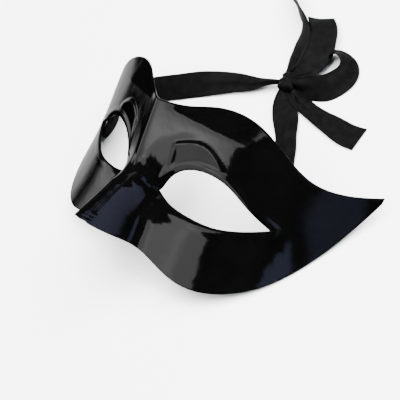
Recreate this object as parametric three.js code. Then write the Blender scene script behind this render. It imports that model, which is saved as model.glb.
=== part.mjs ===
// A glossy half mask of moulded plastic, lying on its back rim with its two ribbons
// tied in a bow on the ground behind it.
//
// Millimetres. +Z is up, +X is the wearer's left, and the mask faces -Y and up.
// The origin is on the ground, at the middle of the footprint.

import * as THREE from 'three';
import { mergeVertices } from 'three/addons/utils/BufferGeometryUtils.js';

// Mask, in the frame of the worn mask: x to the wearer's left, y up, z forward.
// A point on its face is given by s, the arc from the middle, and v, the height.
const FACE_RADIUS = 109;
const FACE_LEAN = -0.1;
const BULGE_LEVEL = 4;
const CURL_ABOVE = 0.0007;
const CURL_BELOW = -0.0028;
const WALL = 1.3;

// Nose: a ridge with steep sides and a sharp crest, on a foot that spreads low down.
const NOSE_RISE = 7;
const NOSE_SLOPE = 0.7;
const NOSE_START = 2;
const NOSE_START_BLEND = 2.5;
const NOSE_CREST = 0.8;
const NOSE_HALF_WIDTHS = [[-40, 12], [-20, 11.5], [-8, 12], [35, 14]];
const NOSE_FEET = [[-32, 12], [-22, 10], [-8, 3]];
const NOSE_FOOT_DROP = 0.25;

// Forehead: two flat planes that meet in the middle and run out into the round face. They
// end below along the brow line, over the sockets, which reach down to the eye's rim.
const FOREHEAD_RISE = 7.29;
const FOREHEAD_REACH = 38;
const BROW_LINE = [[0, -2], [2, 2], [4, 7], [6, 11.5], [8, 14], [12, 16.5], [17, 20], [23, 22]];
const BROW_BLEND = 0.12;
const SOCKET_FOOT = [[0, -10], [13.5, -8], [18, 1.5], [25, 6], [32, 7.5], [43, 6.5], [57, 0],
  [69, -5]];

// Relief round the eye: a rolled lip, over it a raised lid that ends in a crisp step, the
// dip at the inner corner, and the band along the top edge, which leans back.
const LIP = { at: 2.1, wide: 1.3, rise: 0.4, lowShare: 0.35 };
const LID = { rise: 0.75, from: 3.5, step: [-0.2, 0.7], start: [13.8, 15.2], end: [37, 42] };
const LID_WIDTHS = [[16, 12.2], [30, 11], [41, 5]];
const DIP = { s: 18, v: -9, rise: -2, along: 9, above: 5, below: 7 };
const BAND = { from: 26.48, fall: 0.06, lean: 0.17, blend: 0.6, start: [3, 9], end: [42, 70] };

// Outlines of one half as points (s, v), each joined by a smooth spline.
const TOP_EDGE = [[0, 28.9], [12.4, 30.4], [25.7, 34.5], [53.6, 32.9], [79.9, 19.5], [111.5, 21]];
const BOTTOM_EDGE = [[111, 18.5], [88.4, -13.4], [63.2, -34.9], [40.8, -40.6], [18, -34.9],
  [9.6, -32.6], [0, -26.5]];
const UPPER_LID = [[12.8, -9.3], [18.7, 1.2], [43.6, 6], [57.1, -0.5], [69, -5.5]];
const LOWER_LID = [[69, -5.5], [43.2, -13.4], [28.9, -13.4], [16.4, -11.4], [12.8, -9.3]];

// Facets: steps along each edge, and rings between the eye hole and the outline.
const MIDDLE_STEPS = 12;
const TOP_STEPS = 34;
const BOTTOM_STEPS = 34;
const INNER_CORNER_SHARE = 0.1;
const RINGS = [0, 0.07, 0.15, 0.25, 0.37, 0.43, 0.52, 0.62, 0.74, 0.87, 1];

// How the mask lies: turned back from face up until its rim carries its weight.
const LIE_ANGLE = THREE.MathUtils.degToRad(39.5);
const LIE_HEIGHT = 34.315;
const FOOTPRINT_MIDDLE = 49.32;

// Round pads that hold the ribbons' ends inside the wings.
const PAD_RADIUS = 9;
const PAD_THICK = 1.5;
const PAD_FACETS = 32;
const PAD_AT = [77, -6];
const PAD_CLEARANCE = 2.5;

// Ribbons: 12.5 mm wide, as bands through stations. A station is the middle of the
// ribbon (x, y, z), the compass turn and the lean of its width in degrees, and its
// width, which is less where the ribbon is gathered. The ends of the ties first follow
// the inside of the wings through points (s, v), a gap away from the wall.
const RIBBON_THICK = 0.6;
const RIBBON_WIDTH = 12.5;
const RIBBON_FACET = 3.5;
const TIE_GAP = 1.1;
const TIE_END = [[70, -8], [75, -6], [80, -4], [85, -2]];
const LEFT_TIE = [
  [77.2, 22.3, 6.4, 153, 48, 12.5], [75.8, 26, 6, 180, 48, 12.5], [72.4, 29.2, 5.6, 206, 54, 12.5],
  [65, 30.5, 4.1, 243, 32, 12.5], [56, 30.5, 2.1, 262, 14, 12.5], [44, 31.5, 1.1, 262, 4, 12.5],
  [29, 41, 0.9, 245, 0, 12.5], [24.5, 47.5, 0.9, 240, -6, 12], [19, 53.5, 0.9, 231, -8, 11.5],
  [11.5, 60.5, 1.4, 229, 0, 12.5], [4.6, 65.4, 2.6, 229, 0, 10.5], [2.4, 67.6, 3.3, 229, 0, 7.5],
];
const RIGHT_TIE = [
  [-77.2, 22.3, 6.4, 27, 48, 12.5], [-75.6, 26, 6, 2, 48, 12.5], [-72.6, 30.2, 6, -25, 64, 12.5],
  [-70.3, 33.6, 6.4, -45, 84, 12.5], [-67.4, 37.6, 6, 130, 66, 12.5],
  [-62.5, 42.5, 5.1, 123, 46, 12.5], [-55.5, 47.5, 4.8, 124, 42, 12.5],
  [-46.5, 54, 4.5, 124, 38, 12.5], [-37.5, 60, 3.9, 124, 30, 11.4], [-28, 65.5, 3.2, 123, 20, 9.6],
  [-19, 69.5, 3.1, 122, 12, 7], [-9.9, 73.3, 4, 122, 8, 5],
];
const UPPER_LOOP = [
  [-5.2, 83.4, 1.8, -4, 0, 6], [-3.8, 92, 0.9, 8, 0, 12], [-6, 100.5, 0.9, 22, 0, 12.5],
  [-10, 107, 0.9, 25, 0, 12.5], [-15.5, 112, 1, 21, 0, 12.5], [-17.5, 114, 3.6, 21, 0, 12.5],
  [-12.5, 111.5, 6.8, 24, -8, 12.5], [-6.5, 107.5, 8.2, 30, -14, 12.5],
  [-1.5, 102, 8.6, 36, -12, 12.5], [3, 95, 8.4, 42, -8, 12.5], [3, 88.5, 7.8, 40, -4, 9],
  [-0.6, 84.2, 7.2, 32, 0, 5],
];
const SIDE_LOOP = [
  [5, 77.6, 5.4, 118, 56, 7], [11, 79.8, 5.2, 118, 50, 10.8], [18, 83, 4.8, 124, 46, 12.5],
  [21.5, 88.5, 4.9, 138, 48, 12], [22.5, 94, 5.2, 160, 54, 11.2], [20, 98.5, 5.5, 196, 58, 11],
  [15.5, 101, 5.6, 235, 58, 11], [9.8, 102, 4.2, 275, 40, 8], [4.5, 100.3, 3, 300, 6, 7],
  [1.5, 95, 3.2, 310, 0, 7], [-0.6, 89, 3.6, 310, 0, 7], [-1.6, 84.6, 4.2, 308, 0, 5],
];
const LOWER_TAIL = [
  [10.2, 72.4, 0.35, 66, 0, 6], [15.5, 71.5, 0.8, 70, 0, 8.2], [25, 70.5, 0.6, 78, 0, 9.2],
  [35, 70, 0.6, 82, 0, 11], [44, 69.5, 0.6, 78, 0, 12], [52, 70.5, 0.6, 70, 0, 12.5],
];
const UPPER_TAIL = [
  [-9.6, 84.8, 5, 28, 26, 7], [-11, 92.5, 4.2, 28, 22, 12.5], [-15.5, 98.5, 4.4, 28, 36, 12.5],
  [-19, 104, 5.8, 34, 58, 12.5], [-24.5, 109, 6.3, 54, 70, 12.5], [-32, 113.5, 6.3, 62, 72, 12.5],
  [-40, 118, 6.2, 60, 70, 12.5], [-49.5, 123.5, 4.6, 50, 50, 12.5], [-60, 129.5, 2.2, 46, 20, 12.5],
  [-69, 135, 0.8, 46, 0, 12.5],
];

// Knot of the bow.
const KNOT_AT = [-3.4, 75.2, 4.6];
const KNOT_HALF = [5.6, 6.4, 4.4];
const KNOT_FACETS = 18;

const PLASTIC = new THREE.MeshStandardMaterial({ color: 0x0a0a0c, roughness: 0.12, metalness: 0 });
const FELT = new THREE.MeshStandardMaterial({ color: 0x141414, roughness: 0.95, metalness: 0 });
const SATIN = new THREE.MeshStandardMaterial({ color: 0x17171a, roughness: 0.6, metalness: 0 });

const smoothstep = (low, high, x) => THREE.MathUtils.smoothstep(x, low, high);
const bell = (x, form) => form.rise * Math.exp(-(((x - form.at) / form.wide) ** 2));

// 1 between the two slopes of a form that starts and ends along the arc, 0 outside them.
const between = (form, s) => smoothstep(...form.start, s) * (1 - smoothstep(...form.end, s));

// Value at x of the broken line through pairs (x, y).
function brokenLine(pairs, x) {
  if (x <= pairs[0][0]) return pairs[0][1];
  for (let i = 1; i < pairs.length; i += 1) {
    const [x0, y0] = pairs[i - 1];
    const [x1, y1] = pairs[i];
    if (x <= x1) return y0 + ((y1 - y0) * (x - x0)) / (x1 - x0);
  }
  return pairs[pairs.length - 1][1];
}

// Natural cubic spline through rows of numbers, run along the chord length of their
// first `spatial` numbers. Returns a function of the share of that length, 0 to 1.
function spline(rows, spatial) {
  const n = rows.length;
  const knots = [0];
  for (let i = 1; i < n; i += 1) {
    let sum = 0;
    for (let k = 0; k < spatial; k += 1) sum += (rows[i][k] - rows[i - 1][k]) ** 2;
    knots.push(knots[i - 1] + Math.sqrt(sum));
  }
  const bends = rows[0].map((_, k) => {
    const bend = new Array(n).fill(0);
    const ratio = new Array(n).fill(0);
    for (let i = 1; i < n - 1; i += 1) {
      const before = knots[i] - knots[i - 1];
      const after = knots[i + 1] - knots[i];
      const slopes = (rows[i + 1][k] - rows[i][k]) / after - (rows[i][k] - rows[i - 1][k]) / before;
      const pivot = 2 * (before + after) - before * ratio[i - 1];
      ratio[i] = after / pivot;
      bend[i] = (6 * slopes - before * bend[i - 1]) / pivot;
    }
    for (let i = n - 2; i > 0; i -= 1) bend[i] -= ratio[i] * bend[i + 1];
    return bend;
  });
  return (share) => {
    const at = share * knots[n - 1];
    let i = 0;
    while (i < n - 2 && at > knots[i + 1]) i += 1;
    const step = knots[i + 1] - knots[i];
    const b = (at - knots[i]) / step;
    const a = 1 - b;
    return rows[i].map((value, k) => a * value + b * rows[i + 1][k]
      + (((a ** 3 - a) * bends[k][i] + (b ** 3 - b) * bends[k][i + 1]) * step * step) / 6);
  };
}

const topEdge = spline(TOP_EDGE, 2);
const bottomEdge = spline(BOTTOM_EDGE, 2);
const upperLid = spline(UPPER_LID, 2);
const lowerLid = spline(LOWER_LID, 2);

// The rim of one eye hole, as a closed run of points for measuring distances.
const LID_SAMPLES = 60;
const eyeRim = [upperLid, lowerLid].flatMap((lid) => (
  Array.from({ length: LID_SAMPLES }, (_, i) => lid(i / LID_SAMPLES))));

function distanceToEye(s, v) {
  let best = Infinity;
  eyeRim.forEach(([s0, v0], i) => {
    const [s1, v1] = eyeRim[(i + 1) % eyeRim.length];
    const ds = s1 - s0;
    const dv = v1 - v0;
    const along = THREE.MathUtils.clamp(((s - s0) * ds + (v - v0) * dv) / (ds * ds + dv * dv), 0, 1);
    best = Math.min(best, Math.hypot(s - s0 - along * ds, v - v0 - along * dv));
  });
  return best;
}

// Height of the lip, which is rolled on the outside alone, of the lid, of the dip at the
// eye's inner corner and of the leaning band along the top.
function relief(s, v, depth) {
  const away = distanceToEye(s, v);
  const [inner, outer] = [UPPER_LID[0], UPPER_LID[UPPER_LID.length - 1]];
  const axis = inner[1] + ((outer[1] - inner[1]) * (s - inner[0])) / (outer[0] - inner[0]);
  const over = smoothstep(-3, 5, v - axis);
  const lip = depth > 0 ? 0 : bell(away, LIP) * THREE.MathUtils.lerp(LIP.lowShare, 1, over);
  const wide = brokenLine(LID_WIDTHS, s);
  const up = THREE.MathUtils.clamp((away - LID.from) / (wide - LID.from), 0, 1);
  const stepDown = smoothstep(wide + LID.step[0], wide + LID.step[1], away);
  const lid = LID.rise * up * (1 - stepDown) * over * between(LID, s);
  const [ds, dv] = [(s - DIP.s) / DIP.along, (v - DIP.v) / (v < DIP.v ? DIP.below : DIP.above)];
  const dip = DIP.rise * Math.exp(-ds * ds - dv * dv);
  const past = v - (BAND.from - BAND.fall * s);
  const band = -BAND.lean * 0.5 * (past + Math.hypot(past, BAND.blend)) * between(BAND, s);
  return lip + lid + dip + band;
}

// Height of the nose and the forehead over the face. The nose's inside is lower by what
// keeps the wall as thick on the steep sides as elsewhere.
function nose(s, v, depth) {
  const down = NOSE_START - v;
  const rise = NOSE_RISE + NOSE_SLOPE * 0.5 * (down + Math.hypot(down, NOSE_START_BLEND));
  const slope = rise / brokenLine(NOSE_HALF_WIDTHS, v);
  const foot = brokenLine(NOSE_FEET, v);
  const arc = Math.hypot(s, NOSE_CREST);
  const inward = depth * (Math.hypot(1, slope, v < NOSE_START ? NOSE_SLOPE : 0) - 1);
  const height = rise - inward - (NOSE_FOOT_DROP * foot * foot) / rise + slope * (NOSE_CREST - arc);
  const ridge = 0.5 * (height + Math.hypot(height, foot));
  const plane = FOREHEAD_RISE * Math.max(1 - arc / FOREHEAD_REACH, 0) ** 2;
  const foothold = brokenLine(SOCKET_FOOT, s);
  const up = Math.max((v - foothold) / (brokenLine(BROW_LINE, s) - foothold), 0);
  const short = 0.5 * (1 - up + Math.hypot(1 - up, BROW_BLEND));
  return THREE.MathUtils.lerp(ridge, plane, THREE.MathUtils.clamp(1 - short, 0, 1));
}

// Point of the mask at arc s and height v, at a depth below its outer face. `side` is 1
// for the wearer's left half and -1 for the right.
function facePoint(s, v, depth, side) {
  const turn = s / FACE_RADIUS;
  const up = v - BULGE_LEVEL;
  const curl = -(up > 0 ? CURL_ABOVE : CURL_BELOW) * up * up + FACE_LEAN * up;
  const out = FACE_RADIUS + curl + relief(s, v, depth) - depth;
  const z = out * Math.cos(turn) - FACE_RADIUS + nose(s, v, depth);
  return new THREE.Vector3(side * out * Math.sin(turn), v, z);
}

// Pairs of points, one on the eye's rim and one on the outline, all the way round.
function roundTheEye() {
  const pairs = [];
  const share = (i, n) => i / n;
  for (let i = 0; i < MIDDLE_STEPS; i += 1) {
    const t = share(i, MIDDLE_STEPS);
    const v = THREE.MathUtils.lerp(BOTTOM_EDGE.at(-1)[1], TOP_EDGE[0][1], t);
    const inner = t < 0.5
      ? lowerLid(1 - INNER_CORNER_SHARE * (1 - 2 * t))
      : upperLid(INNER_CORNER_SHARE * (2 * t - 1));
    pairs.push({ inner, outer: [0, v], seam: true });
  }
  for (let i = 0; i <= TOP_STEPS; i += 1) {
    const t = share(i, TOP_STEPS);
    const inner = upperLid(INNER_CORNER_SHARE + (1 - INNER_CORNER_SHARE) * t);
    pairs.push({ inner, outer: topEdge(t), seam: false });
  }
  for (let i = 0; i < BOTTOM_STEPS; i += 1) {
    const t = share(i, BOTTOM_STEPS);
    const inner = lowerLid((1 - INNER_CORNER_SHARE) * (i + 1) / (BOTTOM_STEPS + 1));
    pairs.push({ inner, outer: bottomEdge(t), seam: false });
  }
  return pairs;
}

// Station of a tie's end, on the inside of the wing, with its width up the wall.
function stationOnWall([s, v], side) {
  const depth = WALL + TIE_GAP + RIBBON_THICK / 2;
  const lay = (point) => point.applyAxisAngle(new THREE.Vector3(1, 0, 0), LIE_ANGLE);
  const middle = lay(facePoint(s, v, depth, side));
  const across = lay(facePoint(s, v + 1, depth, side)).sub(lay(facePoint(s, v - 1, depth, side)));
  const turn = Math.atan2(across.y, across.x);
  const lean = Math.asin(across.z / across.length());
  const angles = [turn, lean].map(THREE.MathUtils.radToDeg);
  return [middle.x, middle.y, middle.z + LIE_HEIGHT, ...angles, RIBBON_WIDTH];
}

function geometryOf(positions, triangles) {
  const geometry = new THREE.BufferGeometry();
  geometry.setAttribute('position', new THREE.Float32BufferAttribute(positions, 3));
  geometry.setIndex(triangles);
  return mergeVertices(geometry, 1e-4);
}

// The whole shell: two mirrored halves, each an outer and an inner skin of rings round
// the eye, closed by a rim along the outline and a rim in the eye hole.
function maskGeometry() {
  const pairs = roundTheEye();
  const positions = [];
  const triangles = [];
  const lastRing = RINGS.length - 1;
  for (const side of [1, -1]) {
    const skins = [0, WALL].map((depth) => RINGS.map((out) => pairs.map(({ inner, outer }) => {
      const s = THREE.MathUtils.lerp(inner[0], outer[0], out);
      const v = THREE.MathUtils.lerp(inner[1], outer[1], out);
      const point = facePoint(s, v, depth, side);
      positions.push(point.x, point.y, point.z);
      return positions.length / 3 - 1;
    })));
    const quad = (a, b, c, d) => {
      const corners = side > 0 ? [a, b, c, a, c, d] : [a, c, b, a, d, c];
      triangles.push(...corners);
    };
    const [front, back] = skins;
    pairs.forEach((pair, j) => {
      const k = (j + 1) % pairs.length;
      for (let r = 0; r < lastRing; r += 1) {
        quad(front[r][j], front[r][k], front[r + 1][k], front[r + 1][j]);
        quad(back[r][j], back[r + 1][j], back[r + 1][k], back[r][k]);
      }
      quad(front[0][j], back[0][j], back[0][k], front[0][k]);
      if (!pair.seam) {
        quad(front[lastRing][j], front[lastRing][k], back[lastRing][k], back[lastRing][j]);
      }
    });
  }
  return geometryOf(positions, triangles);
}

// A ribbon as a flat band with square edges, swept through its stations.
function ribbonGeometry(stations) {
  const rows = stations.map(([x, y, z, turn, lean, width]) => {
    const [t, l] = [turn, lean].map(THREE.MathUtils.degToRad);
    return [x, y, z, Math.cos(l) * Math.cos(t), Math.cos(l) * Math.sin(t), Math.sin(l), width];
  });
  const route = spline(rows, 3);
  let length = 0;
  for (let i = 1; i < rows.length; i += 1) {
    length += Math.hypot(...[0, 1, 2].map((k) => rows[i][k] - rows[i - 1][k]));
  }
  const steps = Math.round(length / RIBBON_FACET);
  const positions = [];
  const triangles = [];
  for (let i = 0; i <= steps; i += 1) {
    const at = route(i / steps);
    const before = route(Math.max(i / steps - 0.004, 0));
    const after = route(Math.min(i / steps + 0.004, 1));
    const middle = new THREE.Vector3(...at);
    const along = new THREE.Vector3(...after).sub(new THREE.Vector3(...before)).normalize();
    const across = new THREE.Vector3(at[3], at[4], at[5]);
    across.addScaledVector(along, -across.dot(along)).normalize();
    const through = new THREE.Vector3().crossVectors(along, across);
    const half = Math.min(at[6], RIBBON_WIDTH) / 2;
    const reach = half * Math.abs(across.z) + (RIBBON_THICK / 2) * Math.abs(through.z);
    middle.z = Math.max(middle.z, reach);
    for (const [a, b] of [[-1, -1], [1, -1], [1, 1], [-1, 1]]) {
      const corner = middle.clone();
      corner.addScaledVector(across, a * half);
      corner.addScaledVector(through, (b * RIBBON_THICK) / 2);
      positions.push(corner.x, corner.y, corner.z);
    }
    if (i > 0) {
      const now = 4 * i;
      for (let k = 0; k < 4; k += 1) {
        const l = (k + 1) % 4;
        triangles.push(now - 4 + k, now - 4 + l, now + l, now - 4 + k, now + l, now + k);
      }
    }
  }
  const end = 4 * steps;
  triangles.push(0, 2, 1, 0, 3, 2);
  triangles.push(end, end + 1, end + 2, end, end + 2, end + 3);
  return geometryOf(positions, triangles);
}

function padMesh(name, side) {
  const geometry = new THREE.CylinderGeometry(PAD_RADIUS, PAD_RADIUS, PAD_THICK, PAD_FACETS);
  geometry.deleteAttribute('normal');
  geometry.deleteAttribute('uv');
  const pad = new THREE.Mesh(mergeVertices(geometry, 1e-4), FELT);
  const [s, v] = PAD_AT;
  const outside = facePoint(s, v, 0, side);
  const alongArc = facePoint(s + 1, v, 0, side).sub(facePoint(s - 1, v, 0, side));
  const upFace = facePoint(s, v + 1, 0, side).sub(facePoint(s, v - 1, 0, side));
  const outward = alongArc.cross(upFace).multiplyScalar(side).normalize();
  const behind = WALL + PAD_CLEARANCE + PAD_THICK / 2;
  pad.position.copy(outside).addScaledVector(outward, -behind);
  pad.quaternion.setFromUnitVectors(new THREE.Vector3(0, 1, 0), outward);
  pad.name = name;
  return pad;
}

function namedMesh(name, geometry, material) {
  const mesh = new THREE.Mesh(geometry, material);
  mesh.name = name;
  return mesh;
}

const knotGeometry = new THREE.SphereGeometry(1, KNOT_FACETS, KNOT_FACETS / 2);
knotGeometry.deleteAttribute('normal');
knotGeometry.deleteAttribute('uv');
knotGeometry.scale(...KNOT_HALF);
const knot = namedMesh('bow_knot', mergeVertices(knotGeometry, 1e-4), SATIN);
knot.position.set(...KNOT_AT);

const mask = new THREE.Group();
mask.add(namedMesh('mask_shell', maskGeometry(), PLASTIC));
mask.add(padMesh('pad_left', 1), padMesh('pad_right', -1));
mask.rotation.x = LIE_ANGLE;
mask.position.z = LIE_HEIGHT;

const ribbons = new THREE.Group();
ribbons.add(knot);
for (const [name, stations] of [
  ['ribbon_left_tie', [...TIE_END.map((at) => stationOnWall(at, 1)), ...LEFT_TIE]],
  ['ribbon_right_tie', [...TIE_END.map((at) => stationOnWall(at, -1)), ...RIGHT_TIE]],
  ['bow_loop_upper', UPPER_LOOP],
  ['bow_loop_side', SIDE_LOOP],
  ['bow_tail_lower', LOWER_TAIL],
  ['bow_tail_upper', UPPER_TAIL],
]) {
  ribbons.add(namedMesh(name, ribbonGeometry(stations), SATIN));
}

const part = new THREE.Group();
part.add(mask, ribbons);
part.position.y = -FOOTPRINT_MIDDLE;

export default part;
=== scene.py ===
import bmesh
import bpy
import numpy as np
from mathutils import Matrix


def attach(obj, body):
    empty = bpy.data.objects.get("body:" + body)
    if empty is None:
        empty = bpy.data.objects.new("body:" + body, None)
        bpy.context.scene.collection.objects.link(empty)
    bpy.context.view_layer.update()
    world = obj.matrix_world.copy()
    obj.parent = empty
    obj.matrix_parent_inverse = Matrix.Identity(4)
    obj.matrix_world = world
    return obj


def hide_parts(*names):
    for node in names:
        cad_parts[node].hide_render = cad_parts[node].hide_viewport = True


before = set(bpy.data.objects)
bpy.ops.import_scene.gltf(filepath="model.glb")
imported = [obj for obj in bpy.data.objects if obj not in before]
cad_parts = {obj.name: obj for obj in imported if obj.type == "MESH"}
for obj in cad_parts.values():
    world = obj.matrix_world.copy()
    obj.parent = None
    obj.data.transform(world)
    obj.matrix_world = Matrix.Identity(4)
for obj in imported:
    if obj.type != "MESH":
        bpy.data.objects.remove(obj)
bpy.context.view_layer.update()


# The camera looks down on the lying mask from its left and above, and is rolled, so that
# the floor's depth runs towards the upper right of the picture. Its place is in metres.
CAMERA_PLACE = (0.456133, -0.157512, 0.441093)
CAMERA_RIGHT = (0.59005, 0.68772, -0.42294)
CAMERA_UP = (-0.39755, 0.70343, 0.58918)
CAMERA_BACK = (0.70270, -0.17951, 0.68847)

viewpoint = bpy.data.objects.new("camera", bpy.data.cameras.new("camera"))
camera_turn = Matrix((CAMERA_RIGHT, CAMERA_UP, CAMERA_BACK)).transposed().to_4x4()
viewpoint.matrix_world = Matrix.Translation(CAMERA_PLACE) @ camera_turn
viewpoint.data.lens = 125.68
bpy.context.collection.objects.link(viewpoint)
bpy.context.scene.camera = viewpoint


# The mask is one thin shell of moulded black plastic, polished outside and left matt inside.
# It lies on its back rim. Its outline and eye holes have small rounded edges. Lengths are in
# millimetres. s is the arc from the middle of the face and v the height of the worn mask.
WALL = 1.3
EDGE_ROUND = 0.5
FACE_RADIUS = 109.0
BULGE_LEVEL = 4.0
CURL_ABOVE, CURL_BELOW, WALL_LEAN = -0.0007, 0.0028, -0.1
LIE_ANGLE, LIE_HEIGHT = np.radians(39.5), 34.315
# The lying mask and its bow are moved forward by this, which centres them on the frame.
FOOTPRINT_MIDDLE = 49.32

# The outline of one half and of its eye hole, as points (s, v).
TOP_EDGE = [(0, 28.9), (12.4, 30.4), (25.7, 34.5), (53.6, 32.9), (79.9, 19.5), (111.5, 21)]
BOTTOM_EDGE = [
    (111, 18.5), (88.4, -13.4), (63.2, -34.9), (40.8, -40.6), (18, -34.9), (9.6, -32.6), (0, -26.5)]
UPPER_LID = [(12.8, -9.3), (18.7, 1.2), (43.6, 6), (57.1, -0.5), (69, -5.5)]
LOWER_LID = [(69, -5.5), (43.2, -13.4), (28.9, -13.4), (16.4, -11.4), (12.8, -9.3)]
INNER_CORNER, OUTER_CORNER = (13.5, -9), (69, -5.5)

# The lip rolls up round the hole. It is lower under the eye.
LIP_HEIGHT, LIP_FROM_RIM, LIP_SPREAD, LIP_SHARE_BELOW = 0.4, 2.1, 1.3, 0.35
# The lid rises from the lip over the widths (s, width), and ends in a step.
LID_HEIGHT, LID_START = 0.75, 3.5
LID_WIDTHS = [(16, 12.2), (30, 11), (41, 5)]
LID_STEP, LID_FADES_IN, LID_FADES_OUT = (-0.2, 0.7), (13.8, 15.2), (37, 42)
# The band along the top edge leans back past its crease.
CREASE_LEVEL, CREASE_FALL, BAND_LEAN, BAND_SOFT = 26.48, 0.06, 0.17, 0.6
BAND_FADES_IN, BAND_FADES_OUT = (3, 9), (42, 70)
# The face is hollow at the eye's inner corner, and a hair-line groove runs by the nose's ridge.
DIP_AT, DIP_DEPTH, DIP_ACROSS, DIP_BELOW, DIP_ABOVE = (18, -9), 2, 9, 7, 5
GROOVE_AT, GROOVE_DEPTH, GROOVE_SPREAD, GROOVE_STARTS = 2.8, 1.0, 0.45, (-6, -12)

# The nose, as pairs (v, half width) and (v, softness of its foot), and the forehead, whose
# brow line and the foot of the socket under it are pairs (s, v).
NOSE_TOP, NOSE_RISE, NOSE_GROWTH, NOSE_SOFT = 2, 7, 0.7, 2.5
NOSE_HALF_WIDTHS = [(-40, 12), (-20, 11.5), (-8, 12), (35, 14)]
NOSE_FEET = [(-32, 12), (-22, 10), (-8, 3)]
RIDGE_ROUND = 0.8
FOREHEAD_RISE, FOREHEAD_HALF_WIDTH = 7.29, 38
BROW_LINE = [(0, -2), (2, 2), (4, 7), (6, 11.5), (8, 14), (12, 16.5), (17, 20), (23, 22), (40, 22)]
SOCKET_FOOT = [(0, -10), (13.5, -8), (18, 1.5), (25, 6), (32, 7.5), (43, 6.5), (57, 0), (69, -5)]
BROW_SOFT = 0.05


def spline(rows, share, spatial=2):
    """Natural cubic spline through rows of numbers, at shares 0..1 of the chord length that
    its first `spatial` columns cover."""
    rows, share = np.asarray(rows, float), np.asarray(share, float)
    chords = np.linalg.norm(np.diff(rows[:, :spatial], axis=0), axis=1)
    knots = np.concatenate([[0], np.cumsum(chords)])
    step = np.diff(knots)[:, None]
    slope = np.diff(rows, axis=0) / step
    system, right_side = np.eye(len(rows)), np.zeros_like(rows)
    for i in range(1, len(rows) - 1):
        system[i, i - 1:i + 2] = step[i - 1, 0], 2 * (step[i - 1, 0] + step[i, 0]), step[i, 0]
        right_side[i] = 6 * (slope[i] - slope[i - 1])
    bend = np.linalg.solve(system, right_side)
    at = np.clip(share, 0, 1) * knots[-1]
    i = np.clip(np.searchsorted(knots, at, side="right") - 1, 0, len(rows) - 2)
    b = ((at - knots[i]) / step[i, 0])[:, None]
    a = 1 - b
    curving = ((a**3 - a) * bend[i] + (b**3 - b) * bend[i + 1]) * step[i] ** 2 / 6
    return a * rows[i] + b * rows[i + 1] + curving


def smooth_line(pairs, x):
    """Cubic Hermite curve through pairs (x, y), whose slope at each is the mean of the slopes
    beside it. Outside the pairs it keeps the end values."""
    at, value = np.array(pairs, float).T
    slope = np.gradient(value, at)
    x = np.clip(x, at[0], at[-1])
    i = np.clip(np.searchsorted(at, x, side="right") - 1, 0, len(at) - 2)
    run = at[i + 1] - at[i]
    t = (x - at[i]) / run
    return ((2 * t**3 - 3 * t**2 + 1) * value[i] + (t**3 - 2 * t**2 + t) * run * slope[i]
            + (3 * t**2 - 2 * t**3) * value[i + 1] + (t**3 - t**2) * run * slope[i + 1])


def smoothstep(low, high, x):
    """0 below low, 1 above high, and 3t^2 - 2t^3 between them."""
    t = np.clip((x - low) / (high - low), 0, 1)
    return t * t * (3 - 2 * t)


def soft_ramp(x, soft):
    """x above zero and 0 below it, with its turn rounded: half of x + hypot(x, soft)."""
    return 0.5 * (x + np.hypot(x, soft))


LID_POINTS = 120
eye_rim = np.vstack([
    spline(lid, np.linspace(0, 1, LID_POINTS)[:-1]) for lid in (UPPER_LID, LOWER_LID)])


def away_from_eye(s, v):
    """Distance of each (s, v) from the rim of the eye hole, on the flattened face."""
    best = np.full(s.shape, np.inf)
    for (a0, a1), (r0, r1) in zip(eye_rim, np.roll(eye_rim, -1, axis=0) - eye_rim):
        t = np.clip(((s - a0) * r0 + (v - a1) * r1) / (r0 * r0 + r1 * r1), 0, 1)
        best = np.minimum(best, np.hypot(s - a0 - t * r0, v - a1 - t * r1))
    return best


def relief(s, v):
    """Height round the eye hole: the lip is exp(-((away - 2.1) / 1.3)^2) of its height, the
    lid rises in proportion to away and ends in a crisp step, the dip and the groove are bells
    exp(-x^2), and the band leans back by 0.17 of the way past its crease."""
    away = away_from_eye(s, v)
    corner_run, corner_rise = np.subtract(OUTER_CORNER, INNER_CORNER)
    corner_line = INNER_CORNER[1] + corner_rise * (s - INNER_CORNER[0]) / corner_run
    over = smoothstep(-3, 5, v - corner_line)
    lip = LIP_HEIGHT * np.exp(-(((away - LIP_FROM_RIM) / LIP_SPREAD) ** 2))
    lip = lip * (LIP_SHARE_BELOW + (1 - LIP_SHARE_BELOW) * over)
    wide = smooth_line(LID_WIDTHS, s)
    lid = LID_HEIGHT * np.clip((away - LID_START) / (wide - LID_START), 0, 1)
    lid = lid * (1 - smoothstep(wide + LID_STEP[0], wide + LID_STEP[1], away))
    lid = lid * smoothstep(*LID_FADES_IN, s) * (1 - smoothstep(*LID_FADES_OUT, s)) * over
    past_crease = soft_ramp(v - (CREASE_LEVEL - CREASE_FALL * s), BAND_SOFT)
    band = -BAND_LEAN * past_crease * smoothstep(*BAND_FADES_IN, s)
    band = band * (1 - smoothstep(*BAND_FADES_OUT, s))
    dip_across = (s - DIP_AT[0]) / DIP_ACROSS
    dip_up = (v - DIP_AT[1]) / np.where(v < DIP_AT[1], DIP_BELOW, DIP_ABOVE)
    dip = -DIP_DEPTH * np.exp(-(dip_across**2) - dip_up**2)
    groove = -GROOVE_DEPTH * np.exp(-(((s - GROOVE_AT) / GROOVE_SPREAD) ** 2))
    groove = groove * smoothstep(*GROOVE_STARTS, v)
    return lip + lid + dip + band + groove


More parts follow.
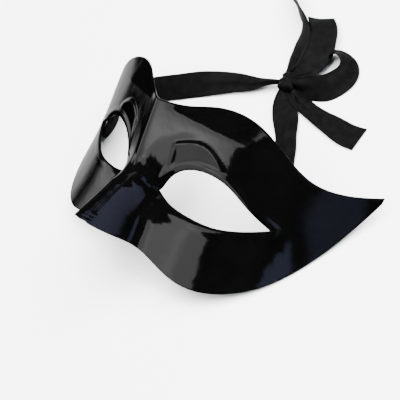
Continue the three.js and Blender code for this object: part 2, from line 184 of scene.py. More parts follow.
def nose_and_forehead(s, v, depth):
    """The nose is a roof: its rise, less slope * (hypot(s, round) - round), rounded into the
    face over its foot, which would lift the ridge by foot^2 / 4 rise. The forehead is
    7.29 * (1 - s / 38)^2 high, two flat planes that meet in the middle, down to the brow
    line. Below it the sockets fall back to the face."""
    rise = NOSE_RISE + NOSE_GROWTH * soft_ramp(NOSE_TOP - v, NOSE_SOFT)
    slope = rise / smooth_line(NOSE_HALF_WIDTHS, v)
    steepness = slope**2 + np.where(v < NOSE_TOP, NOSE_GROWTH**2, 0)
    inward = depth * (np.sqrt(1 + steepness) - 1)
    foot = smooth_line(NOSE_FEET, v)
    beside_ridge = np.hypot(s, RIDGE_ROUND)
    height = rise - inward - 0.25 * foot**2 / rise + slope * (RIDGE_ROUND - beside_ridge)
    ridge = soft_ramp(height, foot)
    plane = FOREHEAD_RISE * np.clip(1 - beside_ridge / FOREHEAD_HALF_WIDTH, 0, 1) ** 2
    low = smooth_line(SOCKET_FOOT, s)
    short = 1 - np.clip((v - low) / (smooth_line(BROW_LINE, s) - low), 0, None)
    return ridge + (plane - ridge) * np.clip(1 - soft_ramp(short, BROW_SOFT), 0, 1)


def face(s, v, depth, side=1):
    """Point of the lying mask. The worn face is a cylinder of radius 109 whose wall curls in
    by 0.0007 up^2 above the bulge and out by 0.0028 up^2 below it, and leans in by 0.1 up. The
    whole is turned back by 39.5 degrees. side is 1 on the wearer's left and -1 on the right."""
    s, v, depth = np.broadcast_arrays(*(np.asarray(q, float) for q in (s, v, depth)))
    up_by = v - BULGE_LEVEL
    curl = np.where(up_by > 0, CURL_ABOVE, CURL_BELOW) * up_by**2 + WALL_LEAN * up_by
    out = FACE_RADIUS + curl + relief(s, v) - depth
    z = out * np.cos(s / FACE_RADIUS) - FACE_RADIUS + nose_and_forehead(s, v, depth)
    x = side * out * np.sin(s / FACE_RADIUS)
    c, d = np.cos(LIE_ANGLE), np.sin(LIE_ANGLE)
    return np.stack([x, v * c - z * d - FOOTPRINT_MIDDLE, v * d + z * c + LIE_HEIGHT], axis=-1)


def normals_of_loop(loop):
    """Unit normals of a closed run of points, to the right of the way it runs."""
    along = np.roll(loop, -1, axis=0) - np.roll(loop, 1, axis=0)
    right_of_it = np.stack([along[:, 1], -along[:, 0]], axis=1)
    return right_of_it / np.linalg.norm(along, axis=1, keepdims=True)


def quads(rows, columns, round_rows=False, round_columns=False):
    """Faces of a grid of rows x columns points, closed on itself in either way."""
    i = np.arange(rows - (not round_rows))[:, None]
    j = np.arange(columns - (not round_columns))[None]
    k, n = (i + 1) % rows, (j + 1) % columns
    corners = [i * columns + j, i * columns + n, k * columns + n, k * columns + j]
    return np.stack(corners, axis=-1).reshape(-1, 4)


def add_piece(name, points, faces, node):
    """A smooth object at the origin from points in millimetres, riding on the mask's body."""
    mesh = bpy.data.meshes.new(name)
    mesh.from_pydata((points.reshape(-1, 3) / 1000).tolist(), [], [list(corners) for corners in faces])
    mesh.update()
    mesh.shade_smooth()
    piece = bpy.data.objects.new(name, mesh)
    bpy.context.collection.objects.link(piece)
    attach(piece, "root")
    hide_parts(node)
    return piece


# The outline and the eye hole have as many points as each other. They run up the middle line,
# out over the top and back under. A tenth of each lid, at the inner corner, faces the middle.
MIDDLE, TOP, BOTTOM = 40, 130, 130
CORNER_SHARE = 0.1
middle = np.linspace(0, 1, MIDDLE, endpoint=False)
top = np.linspace(0, 1, TOP + 1)
bottom = np.linspace(0, 1, BOTTOM, endpoint=False)
middle_low, middle_high = BOTTOM_EDGE[-1][1], TOP_EDGE[0][1]
outline = np.vstack([
    np.stack([0 * middle, middle_low + (middle_high - middle_low) * middle], axis=1),
    spline(TOP_EDGE, top),
    spline(BOTTOM_EDGE, bottom)])
hole = np.vstack([
    spline(LOWER_LID, 1 - CORNER_SHARE * (1 - 2 * middle[middle < 0.5])),
    spline(UPPER_LID, CORNER_SHARE * (2 * middle[middle >= 0.5] - 1)),
    spline(UPPER_LID, CORNER_SHARE + (1 - CORNER_SHARE) * top),
    spline(LOWER_LID, (1 - CORNER_SHARE) * (np.arange(BOTTOM) + 1) / (BOTTOM + 1))])
into_plastic, off_the_hole = normals_of_loop(outline), -normals_of_loop(hole)
into_plastic[:MIDDLE + 1] = 0
into_plastic[0, 1], into_plastic[MIDDLE, 1] = 1, -1
# The rounding dies out towards the upper corner of the wing's tip, which is too sharp for it.
TIP_FADE = 2.5
from_tip = np.hypot(*(outline - outline[MIDDLE + TOP]).T)
into_plastic *= np.clip(from_tip / TIP_FADE, 0, 1)[:, None]

# The profile across the shell, from the hole over the outside to the outline and back on the
# inside, as columns (share of the way, inset, depth). Its rings lie closer by the outline.
RINGS, EDGE_STEPS, RING_CROWDING = 44, 4, 1.25
quarter = np.linspace(0, np.pi / 2, EDGE_STEPS + 1)
bite, sink = EDGE_ROUND * (1 - np.cos(quarter)), EDGE_ROUND * (1 - np.sin(quarter))
ways = 1 - (1 - np.linspace(0, 1, RINGS + 1)[1:-1]) ** RING_CROWDING
outer = np.vstack([
    np.stack([0 * quarter, bite, sink], axis=1),
    np.stack([ways, 0 * ways + EDGE_ROUND, 0 * ways], axis=1),
    np.stack([0 * quarter + 1, bite, sink], axis=1)[::-1]])
inner = outer[::-1] * [1, 1, -1] + [0, 0, WALL]
profile = np.vstack([outer, inner])
columns, rows = len(outline), len(profile)
share, inset, depth = (profile[:, i][:, None] for i in range(3))
start = hole[None] + off_the_hole[None] * inset[..., None]
stop = outline[None] + into_plastic[None] * inset[..., None]
flat = start + (stop - start) * share[..., None]
flat[profile[:, 0] == 1, :MIDDLE] = outline[None, :MIDDLE]

# Both halves are made from this sheet. Along the middle line they have no edge, and are welded.
ON_MIDDLE_LINE, WELD_IN_METRES = 1e-6, 2e-6
shell = quads(rows, columns, round_rows=True, round_columns=True)
row, column = shell[:, 0] // columns, shell[:, 0] % columns
on_outline = (profile[row, 0] == 1) & (profile[(row + 1) % rows, 0] == 1)
shell = shell[~(on_outline & (column < MIDDLE))]
row = shell[:, 0] // columns
inside = (row >= len(outer) + EDGE_STEPS - 1) & (row < rows - EDGE_STEPS)
points = np.vstack([face(flat[..., 0], flat[..., 1], depth, side).reshape(-1, 3) for side in (1, -1)])
points[np.abs(points[:, 0]) < ON_MIDDLE_LINE, 0] = 0
both_halves = np.vstack([shell, shell[:, ::-1] + rows * columns])
mask = add_piece("mask", points, both_halves, "mask_shell")
mask.data.polygons.foreach_set("material_index", np.tile(inside, 2).astype(int))
halves = bmesh.new()
halves.from_mesh(mask.data)
bmesh.ops.remove_doubles(halves, verts=halves.verts, dist=WELD_IN_METRES)
halves.to_mesh(mask.data)
halves.free()


def new_material(name, colour, roughness):
    """A material with a Principled shader, its node tree and that shader."""
    material = bpy.data.materials.new(name)
    material.use_nodes = True
    shader = material.node_tree.nodes["Principled BSDF"]
    shader.inputs["Base Color"].default_value = (*colour, 1)
    shader.inputs["Roughness"].default_value = roughness
    return material, material.node_tree, shader


def effect(name, inputs, build):
    """A node group with float or vector inputs and one Value output, filled by build."""
    group = bpy.data.node_groups.new(name, "ShaderNodeTree")
    for key, default in inputs.items():
        kind = "NodeSocketVector" if default is None else "NodeSocketFloat"
        socket = group.interface.new_socket(key, in_out="INPUT", socket_type=kind)
        if default is not None:
            socket.default_value = default
    group.interface.new_socket("Value", in_out="OUTPUT", socket_type="NodeSocketFloat")
    entry, leave = group.nodes.new("NodeGroupInput"), group.nodes.new("NodeGroupOutput")
    group.links.new(build(group, entry), leave.inputs["Value"])
    return group


def place(tree, group, vector, **values):
    """The effect in a material, fed by a coordinate socket and its own values."""
    node = tree.nodes.new("ShaderNodeGroup")
    node.node_tree = group
    tree.links.new(vector, node.inputs["Vector"])
    for key, value in values.items():
        node.inputs[key].default_value = value
    return node.outputs["Value"]


def noise_between(group, entry, vector):
    """Low + (High - Low) * noise over the vector, where the noise's usual span of 0.3 to 0.7
    counts as the whole. Gives the noise node and the result."""
    noise = group.nodes.new("ShaderNodeTexNoise")
    ends = group.nodes.new("ShaderNodeMapRange")
    ends.inputs["From Min"].default_value, ends.inputs["From Max"].default_value = 0.3, 0.7
    for source, socket in ((vector, noise.inputs["Vector"]),
                           (entry.outputs["Scale"], noise.inputs["Scale"]),
                           (noise.outputs["Fac"], ends.inputs["Value"]),
                           (entry.outputs["Low"], ends.inputs["To Min"]),
                           (entry.outputs["High"], ends.inputs["To Max"])):
        group.links.new(source, socket)
    return noise, ends.outputs["Result"]


def cloudy(group, entry):
    """Low to High by a noise of the given size and detail."""
    noise, result = noise_between(group, entry, entry.outputs["Vector"])
    group.links.new(entry.outputs["Detail"], noise.inputs["Detail"])
    return result


def lined(group, entry):
    """Fine lines that run along X, from Low to High: noise over coordinates whose Y counts
    Lines times."""
    stretch = group.nodes.new("ShaderNodeCombineXYZ")
    stretch.inputs[0].default_value = stretch.inputs[2].default_value = 1
    group.links.new(entry.outputs["Lines"], stretch.inputs[1])
    scaled = group.nodes.new("ShaderNodeVectorMath")
    scaled.operation = "MULTIPLY"
    group.links.new(entry.outputs["Vector"], scaled.inputs[0])
    group.links.new(stretch.outputs[0], scaled.inputs[1])
    return noise_between(group, entry, scaled.outputs[0])[1]


mottle = effect(
    "mottle", {"Vector": None, "Scale": 50.0, "Detail": 2.0, "Low": 0.0, "High": 1.0}, cloudy)
fine_lines = effect(
    "fine_lines", {"Vector": None, "Scale": 50.0, "Lines": 10.0, "Low": 0.0, "High": 1.0}, lined)


def tint(tree, shader, colour, factor):
    """Base Color = colour * factor."""
    scale = tree.nodes.new("ShaderNodeVectorMath")
    scale.operation = "SCALE"
    scale.inputs[0].default_value = colour
    tree.links.new(factor, scale.inputs["Scale"])
    tree.links.new(scale.outputs[0], shader.inputs["Base Color"])


def bump(tree, shader, height, distance, strength=1.0):
    """A Bump of the given height field, in metres, feeds the shader's normal."""
    node = tree.nodes.new("ShaderNodeBump")
    node.inputs["Distance"].default_value = distance
    node.inputs["Strength"].default_value = strength
    tree.links.new(height, node.inputs["Height"])
    tree.links.new(node.outputs["Normal"], shader.inputs["Normal"])


# Outside, the plastic is polished, with a faint unevenness from the mould. Inside it is matt,
# with a fine brushed grain.
GLOSS_COLOUR, MATT_COLOUR = (0.0007, 0.0007, 0.0007), (0.003, 0.003, 0.0032)
gloss, tree, shader = new_material("gloss_plastic", GLOSS_COLOUR, 0.06)
shader.inputs["IOR"].default_value = 1.5
spot = tree.nodes.new("ShaderNodeTexCoord").outputs["Object"]
tint(tree, shader, GLOSS_COLOUR, place(tree, mottle, spot, Scale=60.0, Low=0.8, High=1.3))
polish = place(tree, mottle, spot, Scale=90.0, Detail=4.0, Low=0.05, High=0.075)
tree.links.new(polish, shader.inputs["Roughness"])
bump(tree, shader, place(tree, mottle, spot, Scale=70.0, Detail=3.0), 0.00006)
mask.data.materials.append(gloss)

matt, tree, shader = new_material("matt_inside", MATT_COLOUR, 0.5)
shader.inputs["Specular IOR Level"].default_value = 0.15
spot = tree.nodes.new("ShaderNodeTexCoord").outputs["Object"]
brushed = place(tree, fine_lines, spot, Scale=40.0, Lines=25.0, Low=0.6, High=1.4)
tint(tree, shader, MATT_COLOUR, brushed)
bump(tree, shader, brushed, 0.00004, 0.5)
mask.data.materials.append(matt)


# A soft round of black felt on foam is stuck inside each wing, level with the eye's outer
# corner. It covers the glued end of the ribbon and rests on the wearer's temple.
PAD_AT = (77, -6)
PAD_RADIUS = 9.0
PAD_THICK = 3.1
PAD_GAP = 0.9
PAD_CROWN = 1.8
RINGS_OVER_PAD, POINTS_ROUND_PAD = 41, 72
FELT_COLOUR = (0.003, 0.003, 0.003)

felt, tree, shader = new_material("felt", FELT_COLOUR, 0.95)
spot = tree.nodes.new("ShaderNodeTexCoord").outputs["Object"]
fuzz = place(tree, mottle, spot, Scale=1400.0, Detail=6.0, Low=0.5, High=1.6)
tint(tree, shader, FELT_COLOUR, fuzz)
bump(tree, shader, fuzz, 0.0003)


def felt_round(side):
    """A soft disc whose edge is rounded as a superellipse: r = R cos(lean)^0.25, and the share
    of the way from front to back is 0.5 + 0.5 |sin(lean)|^0.5 with the sine's sign. Its back
    follows the wall, and its front bulges by 1 - (r / R)^2 from a plane along the wall at the
    pad's middle."""
    s, v = PAD_AT
    along = face(s + 1, v, 0, side) - face(s - 1, v, 0, side)
    upward = face(s, v + 1, 0, side) - face(s, v - 1, 0, side)
    normal = np.cross(along, upward) * side
    normal /= np.linalg.norm(normal)
    along /= np.linalg.norm(along)
    angle = np.linspace(0, 2 * np.pi, POINTS_ROUND_PAD, endpoint=False)
    ring = np.cos(angle)[:, None] * along + np.sin(angle)[:, None] * np.cross(normal, along)
    lean = np.linspace(-np.pi / 2, np.pi / 2, RINGS_OVER_PAD)[:, None]
    r = PAD_RADIUS * np.clip(np.cos(lean), 1e-3, 1) ** 0.25
    deep = WALL + PAD_GAP + PAD_THICK + PAD_CROWN * (1 - (r / PAD_RADIUS) ** 2)
    front = face(s, v, 0, side) - normal * deep[..., None] + ring * r[..., None]
    rear = face(s + r * np.cos(angle), v + side * r * np.sin(angle), WALL + PAD_GAP, side)
    share = 0.5 + 0.5 * np.sign(lean) * np.abs(np.sin(lean)) ** 0.5
    return front + (rear - front) * share[..., None]


def closed_tube(points):
    """Faces of a run of closed rings of points, with one face over each end."""
    rows, columns = points.shape[:2]
    first, last = np.arange(columns)[::-1], np.arange(columns) + (rows - 1) * columns
    return quads(rows, columns, round_columns=True).tolist() + [first.tolist(), last.tolist()]


for side, name in ((1, "left"), (-1, "right")):
    rounds = felt_round(side)
    pad = add_piece("felt_pad_" + name, rounds, closed_tube(rounds), "pad_" + name)
    pad.data.materials.append(felt)


# Two lengths of half-inch black satin ribbon, woven with fine cross ribs and firm edges, are
# glued under the pads and tied in a bow. A station is the middle of the ribbon (x, y, z), the
# turn and the lean of its width in degrees, and its width, less where it is gathered.
RIBBON_WIDTH, RIBBON_THICK = 12.5, 0.35
TIE_END = [(71, -8), (75, -6), (80, -4), (85, -2)]
TIE_GAP = 0.5
LEFT_TIE = [
    (77.2, 22.3, 6.4, 153, 48, 12.5), (75.8, 26, 6, 180, 48, 12.5), (72.4, 29.2, 5.6, 206, 54, 12.5),
    (65, 30.5, 4.1, 243, 32, 12.5), (56, 30.5, 2.1, 262, 14, 12.5), (44, 31.5, 1.1, 262, 4, 12.5),
    (29, 41, 0.9, 245, 0, 12.5), (24.5, 47.5, 0.9, 240, -6, 12), (19, 53.5, 0.9, 231, -8, 11.5),
    (11.5, 60.5, 1.2, 229, 0, 12.5), (4, 66.5, 1.8, 229, 0, 12), (0, 71, 2.8, 229, -4, 10),
    (-2, 74, 3.8, 229, -8, 7)]
RIGHT_TIE = [
    (-77.2, 22.3, 6.4, 27, 48, 12.5), (-75.6, 26, 6, 2, 48, 12.5), (-72.6, 30.2, 6, -25, 64, 12.5),
    (-70.3, 33.6, 6.4, -45, 84, 12.5), (-67.4, 37.6, 6, 130, 66, 12.5), (-62.5, 42.5, 5.1, 123, 46, 12.5),
    (-55.5, 47.5, 4.8, 124, 42, 12.5), (-46.5, 54, 4.5, 124, 38, 12.5), (-37.5, 60, 3.9, 124, 30, 11.4),
    (-28, 65.5, 3.1, 123, 20, 9.6), (-19, 69.5, 3, 122, 12, 7), (-13, 73, 3.4, 122, 8, 4.4),
    (-9, 74.6, 4, 122, 6, 3.4), (-5.2, 76, 4.2, 122, 4, 3)]
UPPER_LOOP = [
    (-5.5, 80, 2.8, 0, 0, 5), (-4.5, 85.5, 1.4, 6, 0, 9), (-4, 92, 0.8, 20, 0, 12.5),
    (-6.5, 100, 0.7, 30, 0, 12.5), (-10, 106.5, 0.7, 32, 0, 12.5), (-15.5, 111, 1, 28, 0, 12.5),
    (-18, 114, 3.4, 30, -6, 12.5), (-12.5, 112, 6.4, 38, -20, 12.5), (-6.5, 108, 7.4, 46, -26, 12.5),
    (-1.5, 102, 7.6, 50, -26, 12.5), (2.5, 95, 7.4, 54, -20, 12.5), (2.5, 87, 7, 46, -6, 10.5),
    (-2, 80, 6.4, 30, 0, 5)]
SIDE_LOOP = [
    (-1.5, 77.5, 4.6, 118, 60, 6), (5.5, 77.5, 4.9, 118, 56, 10), (12, 80, 4.8, 118, 50, 12.5),
    (18, 83, 4.8, 124, 46, 12.5), (21.5, 88.5, 4.9, 138, 48, 12), (22.5, 94, 5.2, 160, 54, 11.2),
    (20, 98.5, 5.5, 196, 58, 11), (15.5, 101, 5.6, 235, 58, 11), (9.5, 102, 5, 275, 54, 10),
    (4, 100, 4, 300, 30, 8), (1.5, 95, 3.8, 310, 8, 8), (-1, 88.5, 4, 310, 4, 8),
    (-2.5, 82, 4.6, 308, 6, 5.5)]
LOWER_TAIL = [
    (2, 74.5, 3.4, 64, -6, 5), (7, 73, 1.8, 60, -4, 7.5), (15.5, 71.5, 0.8, 70, 0, 8.2),
    (25, 70.5, 0.6, 78, 0, 9.2), (35, 70, 0.6, 82, 0, 11), (44, 69.5, 0.6, 78, 0, 12),
    (52, 70.5, 0.6, 70, 0, 12.5)]
UPPER_TAIL = [
    (-5.5, 79, 5.4, 30, 30, 5), (-7, 84, 5.2, 28, 22, 8.5), (-9, 90, 5.6, 28, 20, 11.5),
    (-11.5, 96, 6.4, 28, 26, 12.5), (-15, 101, 7.2, 30, 36, 12.5), (-18.5, 104.5, 7.6, 36, 52, 12.5),
    (-24.5, 109, 7.4, 56, 74, 12.5), (-31.5, 113, 7, 64, 77, 12.5), (-39.5, 118, 6.6, 64, 77, 12.5),
    (-48.5, 123, 5.6, 56, 62, 12.5), (-59, 129, 3.2, 46, 24, 12.5), (-69, 135, 0.8, 46, 0, 12.5)]

# Rows of points to a millimetre of ribbon, points across it, the depth, number and start of
# its pleats, and how far its flat band, its pleats and its skins stay off the ground.
STEPS_PER_MM, POINTS_ACROSS = 1.3, 17
PLEAT_DEPTH, PLEAT_WAVES, PLEAT_PHASE = 0.9, 1.5, 0.6
BAND_CLEAR, PLEAT_CLEAR, SKIN_CLEAR = 0.05, 0.02, 0.01

SATIN_COLOUR = (0.0021, 0.0021, 0.0021)
satin, tree, shader = new_material("satin", SATIN_COLOUR, 0.45)
shader.inputs["Specular IOR Level"].default_value = 0.1
places = tree.nodes.new("ShaderNodeTexCoord").outputs
ribs = place(tree, fine_lines, places["UV"], Scale=3.0, Lines=14.0, Low=0.75, High=1.25)
# Painted sheen: a noise makes the satin's base colour brighter and darker in patches, in place of its
# mottled sheen.
painted_sheen = place(tree, mottle, places["Object"], Scale=330.0, Detail=3.0, Low=0.7, High=1.35)
shade = tree.nodes.new("ShaderNodeMath")
shade.operation = "MULTIPLY"
tree.links.new(ribs, shade.inputs[0])
tree.links.new(painted_sheen, shade.inputs[1])
tint(tree, shader, SATIN_COLOUR, shade.outputs[0])
bump(tree, shader, ribs, 0.00008, 0.6)


def on_wall(at, side):
    """Station of a tie's end, glued to the inside of the wing, with its width up the wall."""
    s, v = at
    depth = WALL + TIE_GAP
    centre = face(s, v, depth, side)
    across = face(s, v + 1, depth, side) - face(s, v - 1, depth, side)
    across /= np.linalg.norm(across)
    angles = np.degrees([np.arctan2(across[1], across[0]), np.arcsin(across[2])])
    return (centre[0], centre[1] + FOOTPRINT_MIDDLE, centre[2], *angles, RIBBON_WIDTH)


def lay_uv(piece, across, along):
    """UV map of a grid of points, from their places across and along the ribbon, in widths."""
    uv = np.stack(np.broadcast_arrays(across, along), axis=-1).reshape(-1, 2)
    corner = np.empty(len(piece.data.loops), int)
    piece.data.loops.foreach_get("vertex_index", corner)
    piece.data.uv_layers.new(name="UVMap").data.foreach_set("uv", uv[corner].ravel())


def ribbon(name, stations, node):
    """A band swept along the spline through its stations. Where it is gathered, the spare
    width stands up in pleats 0.9 * sqrt(1 - share^2) * cos(1.5 pi (u + 1) + 0.6)."""
    stations = np.array(stations, float)
    turn, lean = np.radians(stations[:, 3]), np.radians(stations[:, 4])
    width_way = np.stack([np.cos(lean) * np.cos(turn), np.cos(lean) * np.sin(turn), np.sin(lean)], axis=1)
    length = np.linalg.norm(np.diff(stations[:, :3], axis=0), axis=1).sum()
    run = spline(np.column_stack([stations[:, :3], width_way, stations[:, 5]]),
                 np.linspace(0, 1, int(length * STEPS_PER_MM) + 1), 3)
    middle = run[:, :3]
    along = np.gradient(middle, axis=0)
    along /= np.linalg.norm(along, axis=1, keepdims=True)
    across = run[:, 3:6] - (run[:, 3:6] * along).sum(1, keepdims=True) * along
    across /= np.linalg.norm(across, axis=1, keepdims=True)
    through = np.cross(along, across)
    half = np.minimum(run[:, 6], RIBBON_WIDTH) / 2
    reach_down = half * np.abs(across[:, 2]) + RIBBON_THICK / 2 * np.abs(through[:, 2])
    middle[:, 2] = np.maximum(middle[:, 2], reach_down + BAND_CLEAR)

    u = np.linspace(-1, 1, POINTS_ACROSS)
    spare = np.sqrt(np.maximum(1 - (2 * half / RIBBON_WIDTH) ** 2, 0))
    pleat = PLEAT_DEPTH * spare[:, None] * np.cos(PLEAT_WAVES * np.pi * (u + 1) + PLEAT_PHASE)
    flat_band = middle[:, None] + across[:, None] * (half[:, None] * u)[..., None]
    cloth = flat_band + through[:, None] * pleat[..., None]
    cloth[..., 1] -= FOOTPRINT_MIDDLE
    cloth[..., 2] = np.maximum(cloth[..., 2], RIBBON_THICK / 2 + PLEAT_CLEAR)
    # Round the cross section: over the upper skin and back under the lower one.
    upper, lower = (cloth + sign * through[:, None] * RIBBON_THICK / 2 for sign in (1, -1))
    skin = np.concatenate([upper, lower[:, ::-1]], axis=1)
    skin[..., 2] = np.maximum(skin[..., 2], SKIN_CLEAR)

    outward = [corners[::-1] for corners in closed_tube(skin)]
    piece = add_piece(name, skin, outward, node)
    piece.data.materials.append(satin)
    places_along = np.linspace(0, length / RIBBON_WIDTH, len(skin))
    lay_uv(piece, np.concatenate([u, u[::-1]]) / 2 + 0.5, places_along[:, None])


ribbon("left_tie", [on_wall(at, 1) for at in TIE_END] + LEFT_TIE, "ribbon_left_tie")
ribbon("right_tie", [on_wall(at, -1) for at in TIE_END] + RIGHT_TIE, "ribbon_right_tie")
ribbon("upper_loop", UPPER_LOOP, "bow_loop_upper")
ribbon("side_loop", SIDE_LOOP, "bow_loop_side")
ribbon("lower_tail", LOWER_TAIL, "bow_tail_lower")
ribbon("upper_tail", UPPER_TAIL, "bow_tail_upper")


# The knot is the turn of the same ribbon that wraps the crossing of the two lengths. It is
# pulled tight, so the satin is gathered into soft pleats that run round it.
KNOT_AT = (-2.4, 76.9, 4.4)
KNOT_AXIS = (-0.3, 0.95, 0.05)
KNOT_HALF_LENGTH, KNOT_RADIUS, KNOT_BREADTH = 5.0, 3.8, 1.15
KNOT_PLEATS, KNOT_PLEAT_DEPTH, KNOT_OVAL = 3, 0.09, 0.05
WRAP_LENGTH = 2.2
ROWS_OVER, POINTS_ROUND = 61, 72


def wrapped_knot():
    """Radius over the way t from end to end and the turn a round the axis: a plump profile
    (1 - t^4)^0.4, with pleats 0.09 * cos(pleats * pi * t + sin a) and an oval section."""
    t = np.sin(np.linspace(-np.pi / 2, np.pi / 2, ROWS_OVER))[:, None]
    a = np.linspace(0, 2 * np.pi, POINTS_ROUND, endpoint=False)[None]
    plump = np.clip(1 - t**4, 1e-4, 1) ** 0.4
    pleats = KNOT_PLEAT_DEPTH * np.cos(KNOT_PLEATS * np.pi * t + np.sin(a))
    radius = KNOT_RADIUS * plump * (1 + pleats + KNOT_OVAL * np.cos(2 * a + 1))
    axis = np.array(KNOT_AXIS) / np.linalg.norm(KNOT_AXIS)
    side = np.cross([0, 0, 1], axis)
    side /= np.linalg.norm(side)
    rise = np.cross(axis, side)
    centre = np.array(KNOT_AT) - [0, FOOTPRINT_MIDDLE, 0]
    along = KNOT_HALF_LENGTH * t + 0 * a
    across, up_by = KNOT_BREADTH * radius * np.cos(a), radius * np.sin(a)
    return centre + along[..., None] * axis + across[..., None] * side + up_by[..., None] * rise


turns = wrapped_knot()
turns[..., 2] = np.maximum(turns[..., 2], BAND_CLEAR)
knot = add_piece("knot", turns, closed_tube(turns), "bow_knot")
knot.data.materials.append(satin)
lay_uv(knot, np.linspace(0, 1, ROWS_OVER)[:, None], np.linspace(0, WRAP_LENGTH, POINTS_ROUND))


# The ground is a plain sheet of pale matt card, six metres square, that everything lies on.
# The polished plastic doesn't mirror it.
card_mesh = bpy.data.meshes.new("floor")
card_mesh.from_pydata([(-3, -3, 0), (3, -3, 0), (3, 3, 0), (-3, 3, 0)], [], [(0, 1, 2, 3)])
card = bpy.data.objects.new("floor", card_mesh)
bpy.context.collection.objects.link(card)
paper, tree, shader = new_material("pale_card", (0.9, 0.9, 0.9), 0.9)
shader.inputs["Specular IOR Level"].default_value = 0.1
card_mesh.materials.append(paper)
card.visible_glossy = False


# The light comes from panels of lit cloth, which the polished shell reflects, and from two
# large soft lights overhead for the matt pieces and the card. One panel also glows as a
# painted reflection of the pale table. Azimuth 0 is in front of the mask and 90 on its left.
# Angles are in degrees and lengths in metres.
PANEL_MIDDLE, PANEL_DISTANCE, STEPS_PER_DEGREE = (0, -0.05, 0.03), 1.5, 2
LAMP_AIM, LAMP_DISTANCE, LAMP_SIZE = (0.02, -0.04, 0.03), 1.6, 2.0
COOL_WHITE, COOLER_WHITE = (0.57, 0.61, 1.0), (0.5, 0.58, 1.0)


def toward(azimuth, elevation):
    """Unit vectors: sine and cosine of the azimuth over the ground, times the cosine of the
    elevation, and the sine of the elevation upwards."""
    a, e = np.radians(azimuth), np.radians(elevation)
    return np.stack([np.sin(a) * np.cos(e), -np.cos(a) * np.cos(e), np.sin(e)], axis=-1)


def overhead(name, azimuth, elevation, power):
    """A square light that faces the mask and isn't mirrored in it."""
    light = bpy.data.lights.new(name, "AREA")
    light.shape, light.size, light.energy = "SQUARE", LAMP_SIZE, power
    lamp = bpy.data.objects.new(name, light)
    back = toward(azimuth, elevation)
    side = np.cross([0, 0, 1], back)
    side /= np.linalg.norm(side)
    lamp_turn = Matrix((side, np.cross(back, side), back)).transposed().to_4x4()
    lamp.matrix_world = Matrix.Translation(back * LAMP_DISTANCE + np.array(LAMP_AIM)) @ lamp_turn
    lamp.visible_glossy = False
    bpy.context.collection.objects.link(lamp)


def panel(name, azimuth, elevation, glow, colour=(1, 1, 1)):
    """A sheet of lit cloth on a sphere round the mask, between limits of azimuth and
    elevation. glow gives its radiance from those two angles."""
    (a0, a1), (e0, e1) = azimuth, elevation
    azimuths = np.linspace(a0, a1, STEPS_PER_DEGREE * (a1 - a0) + 1)
    elevations = np.linspace(e0, e1, STEPS_PER_DEGREE * (e1 - e0) + 1)
    el, az = np.meshgrid(elevations, azimuths, indexing="ij")
    points = toward(az, el) * PANEL_DISTANCE + PANEL_MIDDLE
    mesh = bpy.data.meshes.new(name)
    mesh.from_pydata(points.reshape(-1, 3).tolist(), [], quads(*az.shape).tolist())
    radiance = np.maximum(glow(az, el), 0).astype(np.float32).ravel()
    mesh.attributes.new("glow", "FLOAT", "POINT").data.foreach_set("value", radiance)
    material = bpy.data.materials.new(name)
    material.use_nodes = True
    nodes, links = material.node_tree.nodes, material.node_tree.links
    nodes.clear()
    attribute, lit, result = (
        nodes.new("ShaderNode" + kind) for kind in ("Attribute", "Emission", "OutputMaterial"))
    attribute.attribute_name = "glow"
    lit.inputs["Color"].default_value = (*colour, 1)
    links.new(attribute.outputs["Fac"], lit.inputs["Strength"])
    links.new(lit.outputs[0], result.inputs["Surface"])
    mesh.materials.append(material)
    sheet = bpy.data.objects.new(name, mesh)
    bpy.context.collection.objects.link(sheet)


def within(x, low, high, soft):
    """1 between low and high, falling to 0 over `soft` outside them."""
    return smoothstep(low - soft, low, x) * smoothstep(high + soft, high, x)


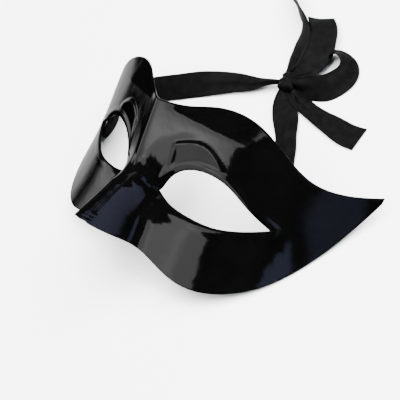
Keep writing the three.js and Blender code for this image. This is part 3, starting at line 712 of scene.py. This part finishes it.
def front_glow(az, el):
    """Even light with a crisp right edge that leans out at the top, and a top edge that falls
    to the left, which is towards lower azimuths. It is dimmer low down, up to a higher line on
    the left, and high up on the right, and brightest in a small bell in the middle."""
    right_edge = np.interp(el, [40, 50, 58, 63], [3, 0, 9, 12])
    top_edge = np.interp(az, [-50, -18, -5], [55.5, 61.0, 65.5])
    shape = smoothstep(-78, -50, az) * smoothstep(0.7, -0.7, az - right_edge)
    shape = shape * smoothstep(10, 24, el) * smoothstep(0.8, -0.8, el - top_edge)
    dim_below = 34 + 7 * smoothstep(-8, -13, az)
    even = 1.3 - 0.2 * smoothstep(33, 38, el) + 0.8 * smoothstep(0, 5, el - dim_below)
    high = smoothstep(50, 57, el) * (0.35 * smoothstep(-20, -14, az) - 0.7 * smoothstep(-15, -6, az))
    middle = 1.6 * np.exp(-(((az + 10) / 6) ** 2) - ((el - 46.5) / 3) ** 2)
    return shape * (even + high + middle)


def left_glow(az, el):
    """A soft box low on the mask's right, that fades downwards, and beyond it a glowing sheet
    below, a painted reflection of the pale table, that fades towards its far edge."""
    far_side = -85.5 - 3 * smoothstep(5, 10, el)
    box = smoothstep(0, 5, az - far_side) * smoothstep(-50, -60, az) * smoothstep(50, 30, el)
    # Painted reflection: this glow stands in for the pale table as the polished shell would mirror it.
    painted_table_reflection = smoothstep(-82, -88, az) * smoothstep(-1, -8, el)
    return 1.25 * box * smoothstep(-4, 9, el) + 0.9 * painted_table_reflection


def nose_glow(az, el):
    """A cool panel on the mask's left that grows brighter away from the front. Its near edge
    is crisp and leans, and it fades out at the top, the bottom and the far edge."""
    near_edge = 81 + 0.3 * np.maximum(31 - el, 0) + np.maximum(el - 37, 0)
    even = 0.6 + 0.65 * smoothstep(80, 95, az)
    shape = smoothstep(-1.5, 1.5, az - near_edge) * smoothstep(99, 96, az) * within(el, 12, 56, 4)
    return shape * even


def wing_glow(az, el):
    """A cool panel beside the wing, with a wider and dimmer band below it."""
    bright = 0.9 * within(az, 56, 66, 2.5) * within(el, 38, 48, 3)
    dim = 0.4 * within(az, 52, 74, 5) * within(el, 13, 27, 5)
    return bright + dim


def high_glow(az, el):
    """A narrow strip high over the mask's left, which draws a thin line along the ridge."""
    return 0.6 * within(az, 70, 170, 10) * within(el, 74, 84, 3)


panel("front_box", (-78, 19), (10, 66), front_glow)
panel("left_box", (-140, -50), (-75, 50), left_glow)
panel("high_strip", (60, 180), (71, 87), high_glow)
panel("nose_box", (79, 103), (8, 60), nose_glow, COOL_WHITE)
panel("wing_box", (47, 79), (8, 51), wing_glow, COOLER_WHITE)
overhead("fill_above", 150, 60, 252)
overhead("fill_front", 10, 80, 180)

# A faint even light from all round reaches what the panels and lamps leave.
world = bpy.data.worlds.new("world")
bpy.context.scene.world = world
world.use_nodes = True
world.node_tree.nodes["Background"].inputs["Color"].default_value = (1, 1, 1, 1)
world.node_tree.nodes["Background"].inputs["Strength"].default_value = 0.02
